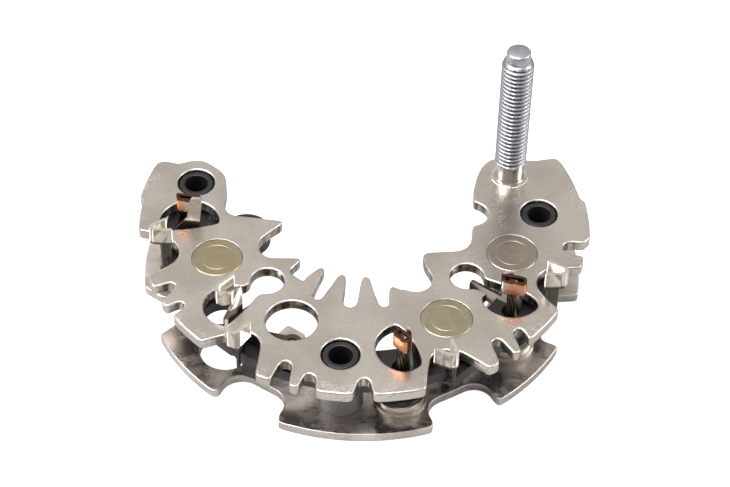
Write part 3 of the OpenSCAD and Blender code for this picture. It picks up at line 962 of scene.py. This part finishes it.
@dataclass
class HeatSink:
    """A heat sink plate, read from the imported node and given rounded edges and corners."""

    node: str
    slot: str
    finish: TumbledAluminium | PolishedAluminium
    edge: Edge
    reach: float
    pressed: Sequence[Point] = ()

    def build(self) -> bpy.types.Object:
        """Builds the plate."""
        low, high = corner(self.node, 0).z, corner(self.node, 1).z
        loops = [soften(loop, self.reach) for loop in face_loops(self.node, high, True)]
        solid = Solid()
        solid.plate(loops, low, high, [self.edge_of(loop).value for loop in loops])
        return solid.piece(self.node + "_plate", self.finish.material(), self.slot, [self.node])

    def edge_of(self, loop: Loop) -> Edge:
        """Gives the edge of an outline: tight where a diode is pressed in."""
        middle = sum(loop, Vector((0.0, 0.0))) / len(loop)
        if any((middle - Vector(place)).length < 0.5 for place in self.pressed):
            return Edge.TIGHT
        return self.edge


@dataclass
class Diode:
    """A press-fit diode: a knurled cup, its potting and its stranded lead."""

    key: str
    upper: bool
    tone: Colour = (0.66, 0.60, 0.52)
    shade: Colour = (0.48, 0.43, 0.37)
    radius: float = 6.4
    shoulder: float = 6.0
    cup_high: float = 5.8
    knurl_high: float = 4.0
    teeth: int = 72
    tooth: float = 0.09
    potting: float = 5.2
    potting_rise: float = 0.7
    strand: float = 0.4
    bundle: float = 0.8
    lay: float = 26.0

    def place(self) -> Point:
        """Gives the diode's axis in plan."""
        return centre(self.node("cup"))

    def node(self, what: str) -> str:
        """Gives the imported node's name of one of the diode's parts."""
        return f"{'positive' if self.upper else 'negative'}_{what}_{self.key}"

    def heights(self, z: float) -> float:
        """Turns a height above the cup's base into a height in the frame."""
        return UPPER_TOP - z if self.upper else z

    def turned(self, profile: Sequence[Point]) -> list[Point]:
        """Puts a section drawn above the base at the diode's height, the right way round."""
        placed = [(r, self.heights(z)) for r, z in profile]
        return list(reversed(placed)) if self.upper else placed

    def build(self) -> None:
        """Builds cup, potting and lead."""
        self.build_cup()
        self.build_potting()
        self.build_lead()

    def build_cup(self) -> bpy.types.Object:
        """Builds the cup with the ring in its base and the knurl round its band."""
        base = [(0.0, 0.0), (3.9, 0.0), (3.98, 0.0), (4.06, 0.05), (4.14, 0.05), (4.22, 0.0), (4.3, 0.0)]
        rim = [(self.radius - 0.5, 0.0), (self.radius - 0.42, 0.0), (self.radius - 0.24, 0.06), (self.radius - 0.1, 0.18),
               (self.radius - 0.02, 0.36), (self.radius, 0.55)]
        top = self.cup_high
        side = [(self.radius, self.knurl_high - 0.15), (self.radius - 0.15, self.knurl_high),
                (self.shoulder, self.knurl_high + 0.05), (self.shoulder, top - 0.5),
                (self.shoulder - 0.15, top - 0.15), (self.shoulder - 0.5, top)]
        inner = [(self.potting + 0.02, top), (self.potting, top - 0.1), (self.potting, 2.0), (0.0, 2.0)]
        low, high = sorted((self.heights(0.6), self.heights(self.knurl_high - 0.1)))
        solid = Solid()
        solid.lathe(
            self.turned(base + rim + [(self.radius, 0.9)] + side + inner),
            self.place(),
            self.teeth * 4,
            lambda i, z: -self.tooth if low < z < high and i % 4 < 2 else 0.0,
        )
        finish = NickelDisc(self.node("nickel"), self.place(), self.tone, self.shade)
        return solid.piece(self.node("cup") + "_turned", finish.material(), "diode_cup", [self.node("cup")])

    def build_potting(self) -> bpy.types.Object:
        """Builds the potting, drawn up round the lead."""
        top = self.cup_high
        reach = self.bundle + self.strand + 0.02
        profile = [(0.0, 2.0), (self.potting - 0.02, 2.0), (self.potting - 0.02, top - 0.05)]
        for k in range(9):
            t = k / 8
            r = self.potting - 0.05 + (reach + 0.2 - self.potting) * t
            profile.append((r, top + self.potting_rise * (1 - (1 - t) ** 3)))
        profile += [(reach, top + self.potting_rise), (reach, 3.2), (0.0, 3.2)]
        solid = Solid()
        solid.lathe(self.turned(profile), self.place(), 64)
        return solid.piece(self.node("potting") + "_cast", PottingEpoxy(self.node("epoxy")).material(),
                           "potting", [self.node("potting")])

    def build_lead(self) -> bpy.types.Object:
        """Builds the stranded lead."""
        low, high = corner(self.node("lead"), 0).z, corner(self.node("lead"), 1).z
        # the lower left lead ends under its crimp and is painted nearly black as shade
        hidden = self.key == "left" and not self.upper
        if hidden:
            high = corner("crimp_left", 0).z + 1.2
        lead = StrandedLead(self.place(), low, high, self.bundle, self.strand, self.lay, painted_shade=0.9 if hidden else 0.0)
        return lead.build(self.node("lead") + "_strands", [self.node("lead")])


@dataclass
class StrandedLead:
    """Six strands laid round one, made by a node tree that turns one helix into six."""

    middle: Point
    low: float
    high: float
    ring: float
    strand: float
    lay: float
    painted_shade: float = 0.0
    strands: int = 6

    def build(self, name: str, nodes: Sequence[str]) -> bpy.types.Object:
        """Builds the lead.

        Args:
            name: name of the piece.
            nodes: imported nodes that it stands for.

        Returns:
            The object.
        """
        material = BareCopper(name + "_copper", self.painted_shade).material()
        tree = bpy.data.node_groups.new(name + "_tree", "GeometryNodeTree")
        sizes = {
            "Lowest": self.low, "Height": self.high - self.low, "Ring Radius": self.ring,
            "Strand Radius": self.strand, "Turns": (self.high - self.low) / self.lay,
            "X": self.middle[0], "Y": self.middle[1],
        }
        for key in sizes:
            tree.interface.new_socket(key, in_out="INPUT", socket_type="NodeSocketFloat")
        tree.interface.new_socket("Strands", in_out="INPUT", socket_type="NodeSocketInt")
        tree.interface.new_socket("Geometry", in_out="OUTPUT", socket_type="NodeSocketGeometry")
        made = NodeTree(tree)
        given = made.add("NodeGroupInput").outputs
        origin = made.add("ShaderNodeCombineXYZ", {}, {"X": given["X"], "Y": given["Y"], "Z": given["Lowest"]})
        helix = made.add("GeometryNodeCurveSpiral", {}, {
            "Resolution": 24, "Rotations": given["Turns"], "Start Radius": given["Ring Radius"],
            "End Radius": given["Ring Radius"], "Height": given["Height"]})
        points = made.add("GeometryNodeMeshLine", {"mode": "OFFSET"}, {
            "Count": given["Strands"], "Start Location": (0, 0, 0), "Offset": (0, 0, 0)})
        index = made.add("GeometryNodeInputIndex")
        share = made.add("ShaderNodeMath", {"operation": "DIVIDE"}, {0: index.outputs[0], 1: given["Strands"]})
        angle = made.add("ShaderNodeMath", {"operation": "MULTIPLY"}, {0: share.outputs[0], 1: math.tau})
        turn = made.add("ShaderNodeCombineXYZ", {}, {"Z": angle.outputs[0]})
        laid = made.add("GeometryNodeInstanceOnPoints", {}, {
            "Points": points.outputs["Mesh"], "Instance": helix.outputs[0], "Rotation": turn.outputs[0]})
        top = made.add("ShaderNodeCombineXYZ", {}, {"Z": given["Height"]})
        core = made.add("GeometryNodeCurvePrimitiveLine", {}, {"End": top.outputs[0]})
        real = made.add("GeometryNodeRealizeInstances", {}, {"Geometry": laid.outputs[0]})
        both = made.add("GeometryNodeJoinGeometry")
        made.link(core.outputs[0], both.inputs[0])
        made.link(real.outputs[0], both.inputs[0])
        section = made.add("GeometryNodeCurvePrimitiveCircle", {}, {
            "Resolution": 10, "Radius": given["Strand Radius"]})
        swept = made.add("GeometryNodeCurveToMesh", {}, {
            "Curve": both.outputs[0], "Profile Curve": section.outputs["Curve"], "Fill Caps": True})
        set_down = made.add("GeometryNodeTransform", {}, {
            "Geometry": swept.outputs[0], "Translation": origin.outputs[0]})
        scaled = made.add("GeometryNodeTransform", {}, {"Geometry": set_down.outputs[0], "Scale": (MM, MM, MM)})
        plain = made.add("GeometryNodeRealizeInstances", {}, {"Geometry": scaled.outputs[0]})
        dressed = made.add("GeometryNodeSetMaterial", {}, {"Geometry": plain.outputs[0], "Material": material})
        made.link(dressed.outputs[0], made.add("NodeGroupOutput").inputs[0])
        return made.piece(name, {**sizes, "Strands": self.strands}, material, "lead", nodes)


class NodeTree:
    """A geometry node tree in the making."""

    def __init__(self, tree: bpy.types.NodeTree) -> None:
        """Wraps an empty tree."""
        self.tree = tree

    def link(self, source: bpy.types.NodeSocket, target: bpy.types.NodeSocket) -> None:
        """Links two sockets."""
        self.tree.links.new(source, target)

    def add(
        self,
        kind: str,
        settings: dict[str, Any] | None = None,
        inputs: dict[Any, Any] | None = None,
    ) -> bpy.types.Node:
        """Adds a node.

        Args:
            kind: the node's type.
            settings: its own settings, set before its sockets.
            inputs: value or socket for each of its sockets.

        Returns:
            The node.
        """
        node = self.tree.nodes.new(kind)
        for key, value in (settings or {}).items():
            setattr(node, key, value)
        for key, value in (inputs or {}).items():
            if isinstance(value, bpy.types.NodeSocket):
                self.link(value, node.inputs[key])
            else:
                node.inputs[key].default_value = value
        return node

    def piece(
        self,
        name: str,
        sizes: dict[str, float],
        material: bpy.types.Material,
        slot: str,
        nodes: Sequence[str],
    ) -> bpy.types.Object:
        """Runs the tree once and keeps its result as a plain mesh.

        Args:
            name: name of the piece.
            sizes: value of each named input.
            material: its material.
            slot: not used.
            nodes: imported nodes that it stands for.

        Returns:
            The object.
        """
        holder = bpy.data.objects.new(name + "_holder", bpy.data.meshes.new(name + "_holder"))
        bpy.context.scene.collection.objects.link(holder)
        modifier = holder.modifiers.new("tree", "NODES")
        modifier.node_group = self.tree
        for item in self.tree.interface.items_tree:
            if item.in_out == "INPUT":
                modifier[item.identifier] = sizes[item.name]
        seen = bpy.context.evaluated_depsgraph_get()
        mesh = bpy.data.meshes.new_from_object(holder.evaluated_get(seen))
        holder.modifiers.remove(modifier)
        bpy.data.objects.remove(holder)
        mesh.name = name
        if not mesh.materials:
            mesh.materials.append(material)
        mesh.shade_smooth()
        mesh.set_sharp_from_angle(angle=math.radians(50))
        return settle(bpy.data.objects.new(name, mesh), nodes)


@dataclass
class Crimp:
    """A strip folded flat round a lead's end, open at the top."""

    key: str
    turn: float
    wide: float
    deep: float
    shift: Point
    lift: float
    tin_side: float
    tin_from: float
    sheet: float = 0.75

    def build(self) -> bpy.types.Object:
        """Builds the crimp."""
        node = "crimp_" + self.key
        low, high = corner(node, 0).z + self.lift, corner(node, 1).z + self.lift
        x, y = centre(node)
        middle = (x + self.shift[0], y + self.shift[1])
        w, d = self.wide / 2, (self.deep - self.sheet) / 2
        line = [(-w, d), (0.0, d + 0.05), (w - 1.0, d), (w - 0.35, d * 0.55), (w - 0.3, -d * 0.55),
                (w - 1.0, -d), (0.0, -d - 0.05), (-w + 1.1, -d), (-w + 0.6, -d * 0.4), (-w + 0.9, d * 0.1)]
        a = math.radians(self.turn)
        turned = [
            (middle[0] + u * math.cos(a) - v * math.sin(a), middle[1] + u * math.sin(a) + v * math.cos(a))
            for u, v in line
        ]
        solid = Solid()
        solid.plate([even(strip_loop(turned, self.sheet), 0.12)], low, high, [0.14], 2)
        finish = WeldedCopper(node + "_copper", middle, self.turn, self.tin_side, self.tin_from, high,
                              gap=self.deep - 2 * self.sheet)
        return solid.piece(node + "_folded", finish.material(), "crimp", [node])


@dataclass
class Bush:
    """An insulating bush: spacer, neck and bore."""

    key: str
    spacer: float = 5.5
    neck: float = 4.35
    bore: float = 2.9
    edge: float = 0.3

    def build(self) -> bpy.types.Object:
        """Builds the bush."""
        node = "bush_" + self.key
        low, high = corner(node, 0).z, corner(node, 1).z
        e, under = self.edge, UPPER_UNDER
        profile = [
            (self.bore, low), (self.spacer - 0.1, low), (self.spacer, low + 0.1),
            (self.spacer, under - 0.1), (self.spacer - 0.1, under), (self.neck, under),
            (self.neck, high - e), (self.neck - 0.3 * e, high - 0.3 * e), (self.neck - e, high),
            (self.bore + 0.22, high), (self.bore + 0.06, high - 0.08), (self.bore, high - 0.3),
        ]
        solid = Solid()
        solid.lathe(profile, centre(node))
        # the bore is painted black as shade; the neck above the upper plate's underside is a black tone
        finish = MouldedPlastic(
            node + "_plastic", (0.2, 0.183, 0.19), (0.27, 0.25, 0.26), 0.3, under, centre(node), self.bore)
        return solid.piece(node + "_moulded", finish.material(), "bush", [node])


@dataclass
class Studio:
    """White floor, soft light and the camera of the photograph."""

    eye: tuple[float, float, float] = (40.93, -385.39, 405.35)
    ahead: tuple[float, float, float] = (-0.0728, 0.6973, -0.7131)
    across: tuple[float, float, float] = (0.9946, 0.1038, 0.0)
    roll: float = 0.997
    lens: float = 107.65
    floor_span: float = 6.0
    floor_tone: float = 0.5
    floor_glow: float = 0.9
    lights: list[tuple[str, tuple[float, float, float], float, float]] = field(default_factory=lambda: [
        ("overhead", (-0.25, -0.1, 1.3), 0.8, 13.0),
        ("left", (-1.0, -0.3, 0.8), 0.5, 8.0),
        ("right", (1.0, 0.1, 0.7), 0.5, 5.0),
    ])

    def build(self) -> None:
        """Builds floor, lights and camera."""
        self.build_floor()
        for name, place, span, power in self.lights:
            self.build_light(name, Vector(place), span, power)
        self.build_sky()
        self.build_camera()
        bpy.context.scene.view_settings.view_transform = "Standard"

    def build_sky(self) -> None:
        """Builds the soft light all round: bright overhead, darker towards the camera's side."""
        world = bpy.context.scene.world or bpy.data.worlds.new("studio")
        bpy.context.scene.world = world
        g = Graph("studio", world)
        x, y, z = g.towards()
        back = y.step(-0.5, 0.6)
        glow = z.step(-0.1, 0.75) * 0.3 + back * 0.24 + x.step(0.3, -0.9) * 0.1 + 0.1
        g.finish(Color=g.blend(z.step(0.0, 0.9), (0.92, 0.95, 1.0), (1.0, 0.965, 0.925)), Strength=glow)

    def build_floor(self) -> None:
        """Builds the floor just under the seat, a little brighter to the eye than to the metal."""
        half = self.floor_span / 2
        mesh = bpy.data.meshes.new("floor")
        z = -0.05 * MM
        mesh.from_pydata([(-half, -half, z), (half, -half, z), (half, half, z), (-half, half, z)], [], [(0, 1, 2, 3)])
        g = Graph("floor_white")
        eye = Term(g, g.node("ShaderNodeLightPath").outputs["Is Camera Ray"])
        tone = self.floor_tone
        mesh.materials.append(g.finish(
            Base_Color=(tone, tone, tone, 1.0),
            Roughness=0.9,
            Emission_Color=g.blend(eye, (0.0, 0.0, 0.0), (1.0, 1.0, 1.0)),
            Emission_Strength=self.floor_glow,
        ))
        floor = bpy.data.objects.new("floor", mesh)
        bpy.context.scene.collection.objects.link(floor)

    def build_light(self, name: str, place: Vector, span: float, power: float) -> None:
        """Builds one soft light that looks at the part."""
        data = bpy.data.lights.new(name, "AREA")
        data.shape, data.size, data.energy = "SQUARE", span, power
        lamp = bpy.data.objects.new(name, data)
        lamp.location = place
        lamp.rotation_euler = (-place).to_track_quat("-Z", "Y").to_euler()
        bpy.context.scene.collection.objects.link(lamp)

    def build_camera(self) -> None:
        """Builds the camera from the photograph's solved view."""
        ahead = Vector(self.ahead).normalized()
        flat = Vector(self.across).normalized()
        flat = (flat - ahead * flat.dot(ahead)).normalized()
        level = flat.cross(ahead).normalized()
        turn = math.radians(self.roll)
        right = flat * math.cos(turn) + level * math.sin(turn)
        up = level * math.cos(turn) - flat * math.sin(turn)
        data = bpy.data.cameras.new("camera")
        data.lens, data.sensor_width, data.sensor_fit = self.lens, 36.0, "HORIZONTAL"
        data.clip_start, data.clip_end = 0.01, 20.0
        camera = bpy.data.objects.new("camera", data)
        camera.matrix_world = Matrix.Translation(Vector(self.eye) * MM) @ Matrix(
            (right, up, -ahead)
        ).transposed().to_4x4()
        bpy.context.scene.collection.objects.link(camera)
        bpy.context.scene.camera = camera


@dataclass
class NodeCopy:
    """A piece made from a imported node's own mesh, merged and given small rounded edges."""

    node: str
    suffix: str
    slot: str
    finish: Any
    edge: Edge
    steps: int = 2
    bend: Callable[[Vector], None] | None = None

    def build(self) -> bpy.types.Object:
        """Builds the piece."""
        bm = bmesh.new()
        bm.from_mesh(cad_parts[self.node].data)
        if self.bend:
            for v in bm.verts:
                self.bend(v.co)
        bmesh.ops.remove_doubles(bm, verts=bm.verts, dist=2e-6)
        bmesh.ops.dissolve_limit(bm, angle_limit=math.radians(1.0), verts=bm.verts, edges=bm.edges)
        rim = bm.verts.layers.float.new("rim")
        edges = [e for e in bm.edges if len(e.link_faces) == 2 and e.calc_face_angle() > math.radians(32)]
        made = bmesh.ops.bevel(
            bm, geom=edges, offset=self.edge.value * MM, offset_type="OFFSET", segments=self.steps,
            profile=0.5, affect="EDGES", clamp_overlap=True,
        )
        rounded = set(made["faces"])
        for v in bm.verts:
            v[rim] = 1.0 if v.link_faces and all(f in rounded for f in v.link_faces) else 0.0
        mesh = bpy.data.meshes.new(self.node + self.suffix)
        bm.to_mesh(mesh)
        bm.free()
        mesh.materials.clear()
        mesh.materials.append(self.finish.material())
        mesh.shade_smooth()
        mesh.set_sharp_from_angle(angle=math.radians(50))
        piece = bpy.data.objects.new(mesh.name, mesh)
        weigh = piece.modifiers.new("even_normals", "WEIGHTED_NORMAL")
        weigh.keep_sharp = True
        return settle(piece, [self.node])


@dataclass
class Stud:
    """The battery stud: pressed flange, plain neck, metric thread and dog point."""

    node: str = "battery_stud"
    flange: float = 6.5
    collar: float = 4.4
    swage: float = 4.9
    collar_top: float = 19.3
    neck: float = 3.45
    thread: float = 4.0
    thread_low: float = 24.3
    pitch: float = 1.25
    dog: float = 3.0
    dog_high: float = 3.0
    around: int = 72
    slices: int = 12

    def build(self) -> bpy.types.Object:
        """Builds the stud."""
        low, high = corner(self.node, 0).z, corner(self.node, 1).z
        middle = centre(self.node)
        root = self.thread - 0.6 * self.pitch
        top = high - self.dog_high
        solid = Solid()
        solid.lathe([
            (0.0, low), (self.flange - 0.3, low), (self.flange, low + 0.3), (self.flange, UPPER_UNDER),
            (self.collar, UPPER_UNDER), (self.collar, UPPER_TOP - 0.1), (self.neck + 0.45, UPPER_TOP - 0.1),
            (self.neck + 0.42, UPPER_TOP + 0.1), (self.neck + 0.25, self.collar_top - 0.1),
            (self.neck + 0.1, self.collar_top), (self.neck, self.collar_top + 0.3),
            (self.neck, self.thread_low - 0.5), (root, self.thread_low), (0.0, self.thread_low),
        ], middle, self.around)
        solid.lathe([
            (self.neck + 0.3, UPPER_TOP - 0.2), (self.swage, UPPER_TOP - 0.2), (self.swage, UPPER_TOP + 0.06),
            (self.swage - 0.12, UPPER_TOP + 0.12), (self.swage - 0.45, UPPER_TOP + 0.12),
            (self.swage - 0.6, UPPER_TOP + 0.02), (self.neck + 0.3, UPPER_TOP + 0.02),
        ], middle, self.around * 2, lambda i, z: -0.28 if z > UPPER_TOP + 0.05 and i % 4 < 2 else 0.0)
        self.wind(solid, middle, root, self.thread_low, top)
        solid.lathe([
            (0.0, top), (root, top), (self.dog, top + 0.15), (self.dog, high - 0.5),
            (self.dog - 0.15, high - 0.18), (self.dog - 0.55, high), (0.0, high),
        ], middle, self.around)
        return solid.piece(self.node + "_rolled", ZincPlate(middle=middle, crest=self.thread, thread_top=top).material(), "stud", [self.node], 50.0)

    def wind(self, solid: Solid, middle: Point, root: float, low: float, high: float) -> None:
        """Winds the thread as a strip that climbs one pitch in a turn."""
        count, slices = self.around, self.slices
        levels = int((high - low) / self.pitch * slices) + 2 * slices
        grid = []
        for j in range(levels + 1):
            row = []
            for i in range(count):
                rise = (j / slices + i / count - 1) * self.pitch
                z = min(max(low + rise, low), high)
                wave = abs(((rise / self.pitch) % 1.0) * 2 - 1)
                depth = min(max((wave - 0.14) / 0.62, 0.0), 1.0)
                r = self.thread - depth * (self.thread - root)
                r = min(r, root + 1.3 * min(z - low, high - z))
                a = math.tau * i / count
                row.append((middle[0] + r * math.cos(a), middle[1] + r * math.sin(a), z))
            grid.append(solid.ring(row))
        for j in range(levels):
            for i in range(count):
                if i + 1 < count:
                    quad = [grid[j][i], grid[j][i + 1], grid[j + 1][i + 1], grid[j + 1][i]]
                elif j + slices + 1 <= levels:
                    quad = [grid[j][i], grid[j + slices][0], grid[j + slices + 1][0], grid[j + 1][i]]
                else:
                    continue
                solid.bm.faces.new(quad)


CUP_TONES: dict[str, tuple[Colour, Colour]] = {
    "left": ((0.50, 0.43, 0.29), (0.38, 0.32, 0.205)),
    "mid": ((0.49, 0.43, 0.305), (0.36, 0.315, 0.215)),
    "right": ((0.47, 0.40, 0.33), (0.37, 0.31, 0.255)),
}


def build_sinks() -> None:
    """Builds both heat sinks."""
    pressed = [centre(f"{side}_cup_{key}") for side in ("positive", "negative") for key in CUP_TONES]
    HeatSink("positive_heat_sink", "upper_plate", TumbledAluminium(), Edge.TUMBLED, 0.85, pressed).build()
    HeatSink("negative_heat_sink", "lower_plate", PolishedAluminium(), Edge.MOULDED, 0.7, pressed).build()


def lean_left_tab(place: Vector) -> None:
    """Leans the top of the left terminal's tab over and up, as it stands after its weld.

    Args:
        place: a point of the terminal in metres, moved in place.
    """
    x, y = centre("crimp_left")
    rise = (place.z / MM - 17.0) / 7.0
    if rise > 0 and math.hypot(place.x / MM - x, place.y / MM - y) < 6.0:
        place.x += min(rise, 1.0) * 1.7 * MM
        place.z += min(rise, 1.0) * 3.0 * MM


def build_terminals() -> None:
    """Builds the terminals and the crimps on the leads of the lower diodes."""
    for key in ("left", "spare", "mid", "right"):
        weld = centre(f"crimp_{key}") if key in CUP_TONES else (0.0, 0.0)
        bend = lean_left_tab if key == "left" else None
        finish = TinPlate(f"tin_{key}", weld)
        NodeCopy(f"terminal_{key}", "_strip", "terminal", finish, Edge.SHEET, bend=bend).build()
    Crimp("left", -2.0, 6.2, 2.3, (1.9, 0.2), 0.9, 1.0, -0.6).build()
    Crimp("mid", -40.0, 5.0, 2.6, (0.0, 0.1), 1.2, -1.0, 1.9).build()
    Crimp("right", -5.0, 6.2, 2.7, (0.1, 0.0), 1.2, -1.0, 1.3).build()


def main() -> None:
    """Builds the whole scene."""
    logging.basicConfig(level=logging.INFO)
    build_sinks()
    for key, (tone, shade) in CUP_TONES.items():
        Diode(key, True, tone, shade).build()
        Diode(key, False).build()
        Bush({"left": "left", "mid": "front", "right": "right"}[key]).build()
    # the carrier's top face, under the upper plate and seen through its windows, is painted black as shade
    top = corner("terminal_carrier", 1).z
    plastic = MouldedPlastic("carrier_plastic", black_from=top)
    NodeCopy("terminal_carrier", "_moulded", "carrier", plastic, Edge.MOULDED).build()
    build_terminals()
    Stud().build()
    Studio().build()


if __name__ == "__main__":
    main()
